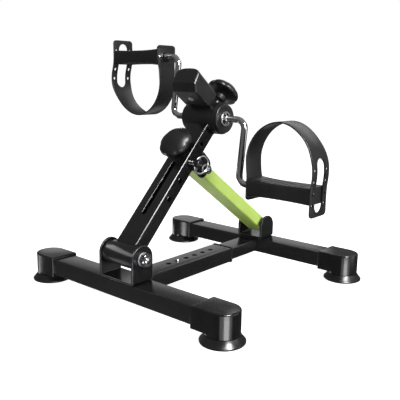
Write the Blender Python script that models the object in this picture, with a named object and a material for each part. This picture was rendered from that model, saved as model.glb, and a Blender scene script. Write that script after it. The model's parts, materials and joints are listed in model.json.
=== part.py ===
"""Pedal exerciser: telescoping H-shaped base, hinged column held by a prop, one-piece crank, strapped pedals.

Metres. +X runs along the crank, +Y from the foot of the column towards the prop, +Z up.
The origin is on the floor, midway between the four feet.
"""

import math

import bmesh
import bpy
from mathutils import Matrix, Vector

# Base
FOOT_X = 0.178
FOOT_Y = 0.1615
FOOT_R = 0.0303
CAP_R = 0.0236
CAP_INBOARD = 0.0346
CAP_TOP = 0.0449
TUBE_W, TUBE_H, WALL = 0.0400, 0.0250, 0.0015
TUBE_Z = 0.0292
TUBE_TOP = TUBE_Z + TUBE_H / 2
INNER_W, INNER_H = 0.0350, 0.0200
RAIL_END_Y = 0.0620
HOLE_PITCH = 0.0205
HOLE_FIRST_Y = -0.0724
BUTTON_HOLE = 1

# Column, in its own frame: u up its length from the lower pivot, n out of its rear face
PIVOT = Vector((0.0, -0.1615, 0.0768))
COLUMN_TILT = math.radians(46.2)
COLUMN_W, COLUMN_D = 0.0400, 0.0240
CRANK_U = 0.2582
SIDE_HOLES_U = (0.1008, 0.1350, 0.1692, 0.2034)
PIN_U = 0.1692
CARRIAGE_U = 0.1822
DRUM_R, DRUM_BORE, DRUM_HALF = 0.0245, 0.0215, 0.0310
CONSOLE_HALF = 0.0238

# Prop between the column and the rear bracket
PROP_FOOT = Vector((0.0, 0.1615, 0.0645))
PROP_W, PROP_D = 0.0350, 0.0210
EAR_N = 0.0324

# Crank and pedals
ROD_R = 0.0052
ROD_BORE = 0.0053
CRANK_THROW = 0.0960
CRANK_ANGLE = math.radians(82.1)
CRANK_X = 0.0741
BEND_R = 0.0140
PEDAL_X = 0.1575
PEDAL_LEN, PEDAL_DEEP = 0.1044, 0.0440
STRAP_T = 0.0022

# Colour, roughness, metallic
PAINT = ((0.013, 0.013, 0.014), 0.34, 0.0)
LIME = ((0.560, 0.830, 0.130), 0.42, 0.0)
PLASTIC = ((0.017, 0.017, 0.018), 0.48, 0.0)
RUBBER = ((0.022, 0.022, 0.023), 0.62, 0.0)
CHROME = ((0.780, 0.780, 0.800), 0.10, 1.0)
ZINC = ((0.620, 0.620, 0.640), 0.26, 1.0)
GREY = ((0.420, 0.420, 0.430), 0.45, 0.0)
FELT = ((0.120, 0.105, 0.085), 0.90, 0.0)

X, Y, Z = Vector((1, 0, 0)), Vector((0, 1, 0)), Vector((0, 0, 1))
U = Vector((0, math.cos(COLUMN_TILT), math.sin(COLUMN_TILT)))
N = Vector((0, math.sin(COLUMN_TILT), -math.cos(COLUMN_TILT)))
CRANK_CENTRE = PIVOT + CRANK_U * U
PROP_HEAD = PIVOT + CARRIAGE_U * U + EAR_N * N
PROP_LEN = (PROP_HEAD - PROP_FOOT).length
E = (PROP_HEAD - PROP_FOOT).normalized()
M = E.cross(X)
THROW = Vector((0, math.cos(CRANK_ANGLE), math.sin(CRANK_ANGLE)))


def axes(origin, x, y, z):
    """Local x, y and z laid along the given directions, from the given origin."""
    turn = Matrix((x, y, z)).transposed().to_4x4()
    return Matrix.Translation(origin) @ turn


def along_x(origin):
    return axes(origin, Y, Z, X)


def along_y(origin):
    return axes(origin, Z, X, Y)


def column_u(u=0.0):
    return axes(PIVOT + u * U, X, N, U)


def column_n(u=0.0, n=0.0):
    return axes(PIVOT + u * U + n * N, U, X, N)


def column_x(u=0.0, n=0.0):
    return axes(PIVOT + u * U + n * N, N, U, X)


FLAT = Matrix.Identity(4)


def circle(r, count=24, cx=0.0, cy=0.0):
    turns = (2 * math.pi * i / count for i in range(count))
    return [(cx + r * math.cos(a), cy + r * math.sin(a)) for a in turns]


def arc(cx, cy, r, start, end, count):
    steps = (math.radians(start + (end - start) * i / count) for i in range(count + 1))
    return [(cx + r * math.cos(a), cy + r * math.sin(a)) for a in steps]


def rounded_rect(w, h, r, count=3):
    points = []
    for sx, sy, start in ((1, 1, 0), (-1, 1, 90), (-1, -1, 180), (1, -1, 270)):
        points += arc(sx * (w / 2 - r), sy * (h / 2 - r), r, start, start + 90, count)
    return points


def capsule(x0, x1, r, count=8):
    return arc(x1, 0, r, -90, 90, count) + arc(x0, 0, r, 90, 270, count)


def loft(loops, place=FLAT, ring=False):
    """A closed body through loops of (x, y, z). A ring joins the last loop to the first instead of capping."""
    bm = bmesh.new()
    rows = [[bm.verts.new(place @ Vector(p)) for p in loop] for loop in loops]
    pairs = list(zip(rows, rows[1:])) + ([(rows[-1], rows[0])] if ring else [])
    for low, high in pairs:
        for i in range(len(low)):
            j = (i + 1) % len(low)
            bm.faces.new((low[i], low[j], high[j], high[i]))
    if not ring:
        bm.faces.new(rows[0][::-1])
        bm.faces.new(rows[-1])
    bmesh.ops.recalc_face_normals(bm, faces=bm.faces)
    return bm


def prism(outline, low, high, place=FLAT):
    return loft([[(x, y, z) for x, y in outline] for z in (low, high)], place)


def box(low, high, place=FLAT):
    outline = [(low[0], low[1]), (high[0], low[1]), (high[0], high[1]), (low[0], high[1])]
    return prism(outline, low[2], high[2], place)


def tube(outer, inner, low, high, place=FLAT):
    loops = [(outer, low), (outer, high), (inner, high), (inner, low)]
    return loft([[(x, y, z) for x, y in line] for line, z in loops], place, ring=True)


def lathe(profile, place=FLAT, count=24, lobes=None):
    """Turns (radius, height) about local z. lobes(r, angle) may wave the radius."""
    bm = bmesh.new()
    rows = []
    for r, h in profile:
        if r == 0:
            rows.append([bm.verts.new(place @ Vector((0, 0, h)))])
            continue
        row = []
        for i in range(count):
            a = 2 * math.pi * i / count
            q = lobes(r, a) if lobes else r
            row.append(bm.verts.new(place @ Vector((q * math.cos(a), q * math.sin(a), h))))
        rows.append(row)
    closed = len(rows[0]) > 1
    for low, high in list(zip(rows, rows[1:])) + ([(rows[-1], rows[0])] if closed else []):
        for i in range(count):
            j = (i + 1) % count
            a, b = low[i % len(low)], low[j % len(low)]
            c, d = high[j % len(high)], high[i % len(high)]
            bm.faces.new([v for k, v in enumerate((a, b, c, d)) if v not in (a, b, c, d)[:k]])
    bmesh.ops.recalc_face_normals(bm, faces=bm.faces)
    return bm


def sweep(path, r, normal, count=20):
    """A round rod along a plane path, with flat ends."""
    loops = []
    for i, point in enumerate(path):
        ahead = path[min(i + 1, len(path) - 1)] - path[max(i - 1, 0)]
        side = ahead.normalized().cross(normal)
        turns = (2 * math.pi * k / count for k in range(count))
        loops.append([point + r * (math.cos(a) * normal + math.sin(a) * side) for a in turns])
    return loft(loops)


def merged(*bodies):
    """Separate bodies in one mesh."""
    bm = bmesh.new()
    for body in bodies:
        mesh = bpy.data.meshes.new("piece")
        body.to_mesh(mesh)
        body.free()
        bm.from_mesh(mesh)
        bpy.data.meshes.remove(mesh)
    return bm


def combine(bm, tool, operation):
    """The exact Boolean of two bodies."""
    made = []
    for body in (bm, tool):
        mesh = bpy.data.meshes.new("operand")
        body.to_mesh(mesh)
        body.free()
        made.append(bpy.data.objects.new("operand", mesh))
        bpy.context.scene.collection.objects.link(made[-1])
    modifier = made[0].modifiers.new("combine", "BOOLEAN")
    modifier.operation, modifier.solver, modifier.object = operation, "EXACT", made[1]
    graph = bpy.context.evaluated_depsgraph_get()
    result = bmesh.new()
    result.from_mesh(made[0].evaluated_get(graph).to_mesh())
    for operand in made:
        bpy.data.objects.remove(operand)
    return result


def cut(bm, *tools):
    return combine(bm, merged(*tools), "DIFFERENCE")


def add(bm, *tools):
    for tool in tools:
        bm = combine(bm, tool, "UNION")
    return bm


def node(name, bm, look, origin=(0, 0, 0)):
    """One named piece with its own material. Its origin is on the axis it moves about."""
    bmesh.ops.remove_doubles(bm, verts=bm.verts, dist=1e-7)
    mesh = bpy.data.meshes.new(name)
    bm.transform(Matrix.Translation(-Vector(origin)))
    bm.to_mesh(mesh)
    bm.free()
    material = bpy.data.materials.new(name)
    material.use_nodes = True
    shader = material.node_tree.nodes["Principled BSDF"]
    colour, roughness, metallic = look
    shader.inputs["Base Color"].default_value = (*colour, 1.0)
    shader.inputs["Roughness"].default_value = roughness
    shader.inputs["Metallic"].default_value = metallic
    mesh.materials.append(material)
    made = bpy.data.objects.new(name, mesh)
    made.location = origin
    bpy.context.scene.collection.objects.link(made)


def rod(r, low, high, place, chamfer=0.0006, count=24):
    ends = [(0, low), (r - chamfer, low), (r, low + chamfer)]
    return lathe(ends + [(r, high - chamfer), (r - chamfer, high), (0, high)], place, count)


def washer(r_out, r_in, low, high, place, count=24):
    return lathe([(r_in, low), (r_out, low), (r_out, high), (r_in, high)], place, count)


def hexagon(across_flats):
    r = across_flats / math.sqrt(3)
    return [(r * math.cos(math.radians(60 * i)), r * math.sin(math.radians(60 * i))) for i in range(6)]


def hex_body(across_flats, low, high, place):
    """A hexagon with its two faces chamfered."""
    block = prism(hexagon(across_flats), low, high, place)
    r, c = across_flats / math.sqrt(3), 0.0009
    turned = lathe([(0, low), (r - c, low), (r + 0.0002, low + c), (r + 0.0002, high - c), (r - c, high), (0, high)],
                   place, 36)
    return combine(block, turned, "INTERSECT")


# ---------------------------------------------------------------- base

def cap_loop(side, end, inset, z):
    """Plan of a foot cap: round outboard, square inboard."""
    r = CAP_R - inset
    points = arc(0, 0, r, -90, 90, 14)
    points += [(-(CAP_INBOARD - inset), r), (-(CAP_INBOARD - inset), -r)]
    return [(side * (FOOT_X + x), end * (FOOT_Y + y), z) for x, y in points]


def foot_cap(name, side, end):
    foot = Matrix.Translation((side * FOOT_X, end * FOOT_Y, 0))
    levels = ((0.0145, 0.0), (CAP_TOP - 0.0014, 0.0), (CAP_TOP, 0.0014))
    body = loft([cap_loop(side, end, inset, z) for z, inset in levels])
    body = add(body, prism(circle(CAP_R - 0.00005, 28), 0.0110, 0.0200, foot))
    tip = FOOT_X - 0.0190
    socket = box((min(side * 0.13, side * tip), end * FOOT_Y - 0.02015, TUBE_Z - 0.01265),
                 (max(side * 0.13, side * tip), end * FOOT_Y + 0.02015, TUBE_Z + 0.01265))
    body = cut(body, socket)
    body = cut(body, prism(circle(0.0051, 28), 0.0090, 0.0160, foot))
    node(name, body, PLASTIC)


def foot_pad(name, side, end):
    foot = Matrix.Translation((side * FOOT_X, end * FOOT_Y, 0))
    profile = [(0, 0.0015), (0.0203, 0.0015), (0.0203, 0.0), (0.0295, 0.0), (FOOT_R, 0.0010), (FOOT_R, 0.0026),
               (0.0268, 0.0060), (0.0240, 0.0109), (0.0050, 0.0109), (0.0050, 0.0155), (0, 0.0155)]
    node(name, lathe(profile, foot, 20), RUBBER)


def cross_tube(name, end):
    outer = [(z, y) for y, z in rounded_rect(TUBE_W, TUBE_H, 0.003)]
    inner = [(z, y) for y, z in rounded_rect(TUBE_W - 2 * WALL, TUBE_H - 2 * WALL, 0.0015)]
    place = axes(Vector((0, end * FOOT_Y, TUBE_Z)), Z, -Y, X)
    half = FOOT_X - 0.0200
    node(name, tube(outer, inner, -half, half, place), PAINT)


def outer_rail():
    place = along_y(Vector((0, 0, TUBE_Z)))
    outer = rounded_rect(TUBE_H, TUBE_W, 0.003)
    inner = rounded_rect(TUBE_H - 2 * WALL, TUBE_W - 2 * WALL, 0.0015)
    body = tube(outer, inner, -FOOT_Y + TUBE_W / 2 + 0.0003, RAIL_END_Y, place)
    holes = [prism(circle(0.0041, 16, 0, HOLE_FIRST_Y + i * HOLE_PITCH), TUBE_TOP - 0.004, TUBE_TOP + 0.004)
             for i in range(6)]
    node("outer_rail", cut(body, *holes), PAINT)


def rail_end_collar():
    place = along_y(Vector((0, 0, TUBE_Z)))
    opening = rounded_rect(INNER_H + 0.0003, INNER_W + 0.0003, 0.0018)
    flange = rounded_rect(TUBE_H + 0.0020, TUBE_W + 0.0020, 0.0035)
    sleeve = rounded_rect(TUBE_H - 2 * WALL - 0.0002, TUBE_W - 2 * WALL - 0.0002, 0.0018)
    start, face, end = RAIL_END_Y - 0.0180, RAIL_END_Y + 0.0001, RAIL_END_Y + 0.0026
    lines = ((sleeve, start), (sleeve, face), (flange, face), (flange, end), (opening, end), (opening, start))
    loops = [[(x, y, z) for x, y in line] for line, z in lines]
    node("rail_end_collar", loft(loops, place, ring=True), PLASTIC)


def inner_rail(origin):
    place = along_y(Vector((0, 0, TUBE_Z)))
    outer = rounded_rect(INNER_H, INNER_W, 0.0016)
    inner = rounded_rect(INNER_H - 2 * WALL, INNER_W - 2 * WALL, 0.0008)
    body = tube(outer, inner, -0.0960, FOOT_Y - TUBE_W / 2 - 0.0003, place)
    y = HOLE_FIRST_Y + BUTTON_HOLE * HOLE_PITCH
    hole = prism(circle(0.0041, 16, 0, y), TUBE_Z + 0.006, TUBE_Z + 0.014)
    node("inner_rail", cut(body, hole), PAINT, origin)


def snap_button_spring(origin):
    """A folded leaf whose upper leg carries the round button that locks the rails."""
    y = HOLE_FIRST_Y + BUTTON_HOLE * HOLE_PITCH
    low, high, t = TUBE_Z - INNER_H / 2 + WALL + 0.0002, TUBE_Z + INNER_H / 2 - WALL - 0.0008, 0.0008
    top = [(y - 0.006, high), (y + 0.006, high), (y + 0.030, low + 0.0050), (y + 0.0325, low + 0.0028),
           (y + 0.0315, low + 0.0008), (y + 0.0290, low), (y - 0.004, low)]
    inside = [(y - 0.004, low + t), (y + 0.0287, low + t), (y + 0.0306, low + 0.0014), (y + 0.0315, low + 0.0027),
              (y + 0.0294, low + 0.0043), (y + 0.0058, high - t), (y - 0.006, high - t)]
    leaf = prism(top + inside, -0.0045, 0.0045, along_x(Vector()))
    button = lathe([(0, high - 0.0004), (0.0036, high - 0.0004), (0.0036, TUBE_TOP + 0.0006),
                    (0.0031, TUBE_TOP + 0.0020), (0.0018, TUBE_TOP + 0.0029), (0, TUBE_TOP + 0.0032)],
                   Matrix.Translation((0, y, 0)), 16)
    node("snap_button_spring", add(leaf, button), ZINC, origin)


def bracket(name, centre, half_inside, ear_r, hole_r, origin=(0, 0, 0)):
    """A U-shaped plate on a cross tube, with two rounded ears."""
    base = TUBE_TOP + 0.0001 - centre.z
    outline = [(ear_r, base), (ear_r, 0)] + arc(0, 0, ear_r, 0, 180, 16)[1:-1] + [(-ear_r, 0), (-ear_r, base)]
    place, t = along_x(centre), 0.0035
    body = prism(outline, -half_inside - t, half_inside + t, place)
    body = cut(body, box((-0.04, base + t, -half_inside), (0.04, 0.05, half_inside), place))
    if hole_r:
        body = cut(body, prism(circle(hole_r), -0.06, 0.06, place))
    node(name, body, PAINT, origin)


def pivot_hardware():
    place = along_x(PIVOT)
    shank = rod(0.0050, -0.0380, 0.0470, place)
    node("pivot_bolt", add(shank, hex_body(0.017, -0.0437, -0.0373, place)), ZINC)
    nut = cut(hex_body(0.017, 0.0373, 0.0455, place), prism(circle(0.00508), 0.03, 0.05, place))
    node("pivot_nut", nut, ZINC)
    for label, low in (("left", -0.0371), ("right", 0.0353)):
        node(f"pivot_washer_{label}", washer(0.0105, 0.00525, low, low + 0.0018, place), ZINC)


# -------------------------------------------------------------- column

def column_tube():
    outer = rounded_rect(COLUMN_W, COLUMN_D, 0.003)
    inner = rounded_rect(COLUMN_W - 2 * WALL, COLUMN_D - 2 * WALL, 0.0015)
    body = tube(outer, inner, 0.0060, CRANK_U - 0.0100, column_u())
    tools = [prism(circle(0.0176, 32), -0.03, 0.03, column_x()),
             prism(circle(DRUM_R + 0.0003, 32), -0.03, 0.03, column_x(CRANK_U))]
    tools += [prism(circle(0.0045, 16), -0.03, 0.03, column_x(u)) for u in SIDE_HOLES_U]
    body = cut(body, *tools)
    front = prism(capsule(0.0662, 0.2090, 0.0042, 5), -0.0160, -0.0080, column_n())
    rear = prism(capsule(0.0662, 0.2090, 0.0050, 5), 0.0080, 0.0160, column_n())
    node("column_tube", cut(body, front, rear), PAINT, PIVOT)


def pivot_barrel():
    profile = [(0.00508, -0.0312), (0.0165, -0.0312), (0.0173, -0.0304), (0.0173, 0.0304), (0.0165, 0.0312),
               (0.00508, 0.0312)]
    node("pivot_barrel", lathe(profile, column_x()), PAINT, PIVOT)


def head_drum():
    body = tube(circle(DRUM_R, 32), circle(DRUM_BORE, 32), -DRUM_HALF, DRUM_HALF, column_x(CRANK_U))
    body = cut(body, prism(circle(0.0056, 24), 0.010, 0.040, column_u(CRANK_U)))
    node("head_drum", body, PAINT, PIVOT)


def tension_boss():
    body = prism(circle(0.0090, 24), 0.0180, 0.0318, column_u(CRANK_U))
    body = cut(body, prism(circle(DRUM_R + 0.0002, 32), -0.03, 0.03, column_x(CRANK_U)))
    node("tension_boss", cut(body, prism(circle(0.0049), 0.010, 0.040, column_u(CRANK_U))), PAINT, PIVOT)


def console_outline(x):
    """Side view of the console in (n, u) at x. Its top is crowned and falls away towards both sides."""
    drop = 0.0150 * (1 - (1 - abs(x / CONSOLE_HALF) ** 2.7) ** (1 / 2.7))
    return [(-0.0864 + 0.19 * drop, 0.2819 - drop), (-0.0820, 0.2580), (-0.0800, 0.2555), (-0.0700, 0.2492),
            (-0.0672, 0.2488), (-0.0335, 0.2543), (-0.0266, 0.2875 - drop)]


def console():
    places = (0.0238, 0.0234, 0.0222, 0.0200, 0.0165, 0.0120, 0.0060)
    places = [-x for x in places] + [0.0] + list(places[::-1])
    body = loft([[(n, u, x) for n, u in console_outline(x)] for x in places], column_x())
    hollow = [(-0.0800, 0.2690), (-0.0785, 0.2590), (-0.0680, 0.2520), (-0.0200, 0.2590), (-0.0200, 0.2744)]
    body = cut(body, prism(hollow, -0.0205, 0.0205, column_x()))
    centre = Vector((-0.0500, 0.25160))
    along = Vector((0.0337, 0.0055)).normalized()
    place = axes(PIVOT + centre.x * N + centre.y * U, X, along.x * N + along.y * U,
                 X.cross(along.x * N + along.y * U))
    body = cut(body, prism(circle(0.0050, 24), -0.002, 0.0012, place))
    node("console_cover", body, PLASTIC, PIVOT)
    dome = lathe([(0, 0.0010), (0.0048, 0.0010), (0.0048, -0.0004), (0.0034, -0.0011), (0, -0.0013)], place, 24)
    node("console_plug", dome, GREY, PIVOT)
    neck = prism([(-0.0600, 0.2534), (-0.0205, 0.2592), (-0.0205, 0.2741), (-0.0600, 0.2706)], -0.0203, 0.0203,
                 column_x())
    neck = cut(neck, box((-0.0700, 0.2400, -0.0180), (-0.0290, 0.2680, 0.0180), column_x()),
               prism(circle(DRUM_R + 0.0002, 32), -0.03, 0.03, column_x(CRANK_U)))
    node("console_bracket", neck, PAINT, PIVOT)


def bearing_cup(name, side):
    profile = [(0, 0.0210), (0.0213, 0.0210), (0.0213, 0.0313), (0.0228, 0.0313), (0.0228, 0.0340),
               (0.0209, 0.0359), (0.0140, 0.0359), (0.0130, 0.0351), (0, 0.0351)]
    place = axes(CRANK_CENTRE, Y, Z, X) if side > 0 else axes(CRANK_CENTRE, Z, Y, -X)
    body = cut(lathe(profile, place, 32), prism(circle(ROD_BORE, 20), 0.0, 0.05, place))
    node(name, body, PLASTIC, CRANK_CENTRE)


def brake_pad():
    body = box((-0.0080, CRANK_U + 0.0020, -0.0100), (0.0080, CRANK_U + 0.0115, 0.0100), column_x())
    body = cut(body, prism(circle(ROD_R + 0.0002, 20), -0.02, 0.02, axes(CRANK_CENTRE, Y, Z, X)))
    node("brake_pad", body, FELT, PIVOT)


def carriage():
    """Slider inside the column, clamped by the knob's stud, with a neck through the rear slot."""
    section = [(-0.0182, -0.0090), (-0.0170, -0.0102), (0.0170, -0.0102), (0.0182, -0.0090), (0.0182, 0.0090),
               (0.0170, 0.0102), (0.0046, 0.0102), (0.0046, 0.0122), (-0.0046, 0.0122), (-0.0046, 0.0102),
               (-0.0170, 0.0102), (-0.0182, 0.0090)]
    body = prism(section, 0.1600, 0.2040, column_u())
    body = cut(body, prism(circle(0.00428, 24), -0.03, 0.03, column_x(PIN_U)))
    body = cut(body, prism(circle(0.00408), -0.0150, 0.0080, column_n(CARRIAGE_U)))
    node("carriage_block", body, PLASTIC, PIVOT)


def strut_bracket():
    low, high, web, reach, r = 0.1655, 0.2000, 0.0123, 0.0420, 0.0125
    outline = [(web, low)] + arc(reach - r, low + r, r, -90, 0, 6) + arc(reach - r, high - r, r, 0, 90, 6)
    outline += [(web, high)]
    body = prism(outline, -0.0204, 0.0204, column_x())
    body = cut(body, box((web + 0.0030, low - 0.01, -0.0179), (0.06, high + 0.01, 0.0179), column_x()))
    body = cut(body, prism(circle(0.00408, 24), -0.03, 0.03, column_x(CARRIAGE_U, EAR_N)))
    node("strut_bracket", body, PAINT, PIVOT)
    place = column_x(CARRIAGE_U, EAR_N)
    shank = rod(0.0040, -0.0240, 0.0312, place, count=24)
    node("strut_bolt", add(shank, hex_body(0.013, -0.0278, -0.0223, place)), ZINC, PIVOT)
    nut = cut(hex_body(0.013, 0.0223, 0.0288, place), prism(circle(0.00408, 24), 0.02, 0.03, place))
    node("strut_nut", nut, ZINC, PIVOT)
    for label, low in (("left", -0.0221), ("right", 0.0206)):
        node(f"strut_washer_{label}", washer(0.0080, 0.0042, low, low + 0.0015, place, 24), ZINC, PIVOT)


# ----------------------------------------------------------------- prop

def strut():
    place = axes(PROP_FOOT, X, M, E)
    outer = rounded_rect(PROP_W, PROP_D, 0.0028)
    inner = rounded_rect(PROP_W - 2 * WALL, PROP_D - 2 * WALL, 0.0014)
    body = tube(outer, inner, -0.0090, PROP_LEN + 0.0110, place)
    body = cut(body, prism(circle(0.0081), -0.03, 0.03, axes(PROP_FOOT, M, E, X)),
               prism(circle(0.0055, 24), -0.03, 0.03, axes(PROP_HEAD, M, E, X)))
    node("strut_tube", body, LIME, PROP_FOOT)
    place = along_x(PROP_FOOT)
    node("strut_bush", washer(0.0080, 0.00508, -0.0215, 0.0215, place), PAINT, PROP_FOOT)
    node("rear_pivot_pin", rod(0.0050, -0.0219, 0.0219, place), ZINC, PROP_FOOT)


# ---------------------------------------------------------------- crank

def bent(a, b, c, r, count=6):
    """Points round the corner at b, from a towards c."""
    p, q = (a - b).normalized(), (c - b).normalized()
    centre = b + r * (p + q)
    turns = (math.pi / 2 * i / count for i in range(count + 1))
    return [centre - r * (math.cos(t) * q + math.sin(t) * p) for t in turns]


def crank():
    left, right = CRANK_CENTRE + CRANK_THROW * THROW, CRANK_CENTRE - CRANK_THROW * THROW
    tip = (PEDAL_X + PEDAL_LEN / 2 - 0.0080) * X
    path = [left - tip] + bent(left - tip, left - CRANK_X * X, CRANK_CENTRE - CRANK_X * X, BEND_R)
    path += bent(left - CRANK_X * X, CRANK_CENTRE - CRANK_X * X, CRANK_CENTRE, BEND_R)
    path += bent(CRANK_CENTRE, CRANK_CENTRE + CRANK_X * X, right + CRANK_X * X, BEND_R)
    path += bent(CRANK_CENTRE + CRANK_X * X, right + CRANK_X * X, right + tip, BEND_R) + [right + tip]
    node("crank_rod", sweep(path, ROD_R, X.cross(THROW)), CHROME, CRANK_CENTRE)
    for name, side in (("snap_ring_left", -1), ("snap_ring_right", 1)):
        outline = arc(0, 0, 0.0112, 30, 330, 20)
        inner = []
        for angle in (330, 320, 300, 288, 286, 270, 254, 252, 230, 210, 198, 196, 180, 164, 162, 140, 120, 108, 106,
                      90, 74, 72, 50, 30):
            near = min(abs(angle - c) for c in (90, 180, 270)) <= 16
            r = 0.00535 if near else 0.0084
            inner.append((r * math.cos(math.radians(angle)), r * math.sin(math.radians(angle))))
        low = side * 0.0366 - 0.0007
        node(name, prism(outline + inner, low, low + 0.0014, along_x(CRANK_CENTRE)), CHROME, CRANK_CENTRE)


# --------------------------------------------------------------- pedals

def pedal_frame(side):
    """Local x away from the hub, z towards the strap's arch."""
    centre = CRANK_CENTRE - side * CRANK_THROW * THROW + side * PEDAL_X * X
    return axes(centre, side * X, Y, side * Z)


def spline(points, count=2):
    ends = [points[0]] + points + [points[-1]]
    made = []
    for a, b, c, d in zip(ends, ends[1:], ends[2:], ends[3:]):
        for i in range(count):
            t = i / count
            made.append(tuple(0.5 * (2 * q + (r - p) * t + (2 * p - 5 * q + 4 * r - s) * t * t
                                     + (3 * q - p - 3 * r + s) * t ** 3) for p, q, r, s in zip(a, b, c, d)))
    return made + [points[-1]]


def strap_path(bulge):
    """Centre line of the strap in (x, z), from the inner end over the arch to the outer tab."""
    half, b = PEDAL_LEN / 2 + 0.0014, bulge
    return spline([(-half, -0.0192), (-half, 0.0060), (-0.0560, 0.0290), (-0.0562, 0.0480), (-0.0500, 0.0670),
                   (-0.0370, 0.0840), (-0.0200, 0.0945), (-0.0030, 0.0980), (0.0145 + 0.3 * b, 0.0945),
                   (0.0320 + 0.8 * b, 0.0830), (0.0460 + b, 0.0660), (0.0538 + b, 0.0470),
                   (0.0556 + 0.7 * b, 0.0290), (half, 0.0060), (half, -0.0298)])


def ease(value, start, end):
    t = max(0.0, min(1.0, (value - start) / (end - start)))
    return t * t * (3 - 2 * t)


def strap_half(x, z):
    """Half the strap's width: full at both tabs, waisted over the arch."""
    if x > 0:
        return 0.0224 - 0.0036 * ease(z, 0.046, 0.080)
    return 0.0216 - 0.0028 * ease(z, -0.002, 0.022)


def strap(name, bulge, place):
    line = strap_path(bulge)
    loops = []
    for i, (x, z) in enumerate(line):
        (x0, z0), (x1, z1) = line[max(i - 1, 0)], line[min(i + 1, len(line) - 1)]
        length = math.hypot(x1 - x0, z1 - z0)
        px, pz = (z0 - z1) / length * STRAP_T / 2, (x1 - x0) / length * STRAP_T / 2
        w = strap_half(x, z)
        loops.append([(x + px, -w, z + pz), (x + px, w, z + pz), (x - px, w, z - pz), (x - px, -w, z - pz)])
    body = loft(loops, place)
    across = place @ axes(Vector(), Y, Z, X)
    slot = [(y, z) for z, y in capsule(-0.0133, 0.0415, 0.0105, 6)]
    tools = [prism(slot, 0.03, 0.07, across)]
    for z in (-0.0117, 0.0043, 0.0203, 0.0363):
        tools += [prism(circle(0.0026, 8, y, z), 0.03, 0.07, across) for y in (-0.0162, 0.0162)]
    for y in (-0.0162, 0.0162):
        tools.append(prism(circle(0.0022, 12, y, -0.0005), -0.07, -0.03, across))
    tools.append(prism(circle(0.0084, 20), -0.07, -0.03, across))
    r = 0.0070
    for low, w, x0, x1 in ((-0.0298, 0.0224, 0.03, 0.07), (-0.0192, 0.0216, -0.07, -0.03)):
        for s in (-1, 1):
            corner = [(s * (w + 0.002), low - 0.002), (s * (w - r), low - 0.002)]
            corner += [(s * a, b) for a, b in arc(w - r, low + r, r, -90, 0, 4)] + [(s * (w + 0.002), low + r)]
            tools.append(prism(corner, x0, x1, across))
    node(name, cut(body, *tools), PLASTIC, place.translation)


def pedal_block(name, place):
    across = place @ axes(Vector(), Y, Z, X)
    half = PEDAL_LEN / 2
    heights = ((0, 0.0268), (0.012, 0.0246), (0.028, 0.0228), (0.044, 0.0222), (0.0644, 0.0222), (0.0844, 0.0228),
               (PEDAL_LEN, 0.0246))
    body = loft([[(y, z, x - half) for y, z in rounded_rect(PEDAL_DEEP - 0.0010, h, 0.0040)] for x, h in heights],
                across)
    grooves = [box((-0.03, 0.0104, x - 0.0009), (0.03, 0.02, x + 0.0009), across)
               for x in (0.0085 * i for i in range(-4, 5))]
    body = cut(body, *grooves)
    pegs = [prism(circle(0.0022, 8, y, 0.0043), half - 0.004, half + 0.0042, across) for y in (-0.0162, 0.0162)]
    body = add(body, prism(circle(0.0080, 20), -half - 0.0052, -half + 0.004, across), *pegs)
    body = cut(body, prism(circle(0.0020, 10, -0.0162, -0.0005), -half - 0.01, -half + 0.0065, across),
               prism(circle(0.0020, 10, 0.0162, -0.0005), -half - 0.01, -half + 0.0065, across),
               prism(circle(ROD_BORE, 20), -half - 0.01, half - 0.0060, across))
    node(name, body, PLASTIC, place.translation)


def pedal(label, side):
    place = pedal_frame(side)
    across = place @ axes(Vector(), Y, Z, X)
    pedal_block(f"pedal_block_{label}", place)
    strap(f"pedal_strap_{label}", 0.0 if side > 0 else 0.0045, place)
    half = PEDAL_LEN / 2
    heads = [(0, -half - 0.0042), (0.0016, -half - 0.0040), (0.0030, -half - 0.0030), (0.0030, -half - 0.0027),
             (0.0019, -half - 0.0027), (0.0019, -half + 0.0060), (0, -half + 0.0060)]
    for row, y in (("front", -0.0162), ("rear", 0.0162)):
        body = lathe(heads, across @ Matrix.Translation((y, -0.0005, 0)), 10)
        node(f"strap_rivet_{label}_{row}", body, ZINC, place.translation)


# ------------------------------------------------------- knobs and pin

def lobed(r, angle):
    depth = max(0.0, min(1.0, (r - 0.012) / 0.014))
    return r * (1 - 0.085 * depth * (0.5 + 0.5 * math.cos(7 * angle)) ** 3)


def knob(name, place, look, origin):
    profile = [(0, 0.0006), (0.0100, 0.0006), (0.0112, 0.0090), (0.0195, 0.0130), (0.0262, 0.0150),
               (0.0270, 0.0185), (0.0250, 0.0230), (0.0190, 0.0280), (0.0100, 0.0312), (0, 0.0321)]
    body = lathe(profile, place, 42, lobed)
    node(name, cut(body, prism(circle(0.00408), -0.002, 0.0120, place)), look, origin)


def clamp_knob():
    centre = PIVOT + CARRIAGE_U * U - COLUMN_D / 2 * N
    place = axes(centre, X, U, -N)
    knob("clamp_knob", place, PLASTIC, centre)
    node("clamp_stud", rod(0.0040, -0.0180, 0.0115, place), ZINC, centre)


def tension_knob():
    centre = PIVOT + (CRANK_U + 0.0358) * U
    place = axes(centre, X, N, U)
    knob("tension_knob", place, PLASTIC, centre)
    thread = [(0, -0.0240), (0.0042, -0.0240), (0.0048, -0.0234), (0.0048, -0.0004), (0.0040, 0.0000),
              (0.0040, 0.0115), (0, 0.0115)]
    node("tension_screw", lathe(thread, place), CHROME, centre)


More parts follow.
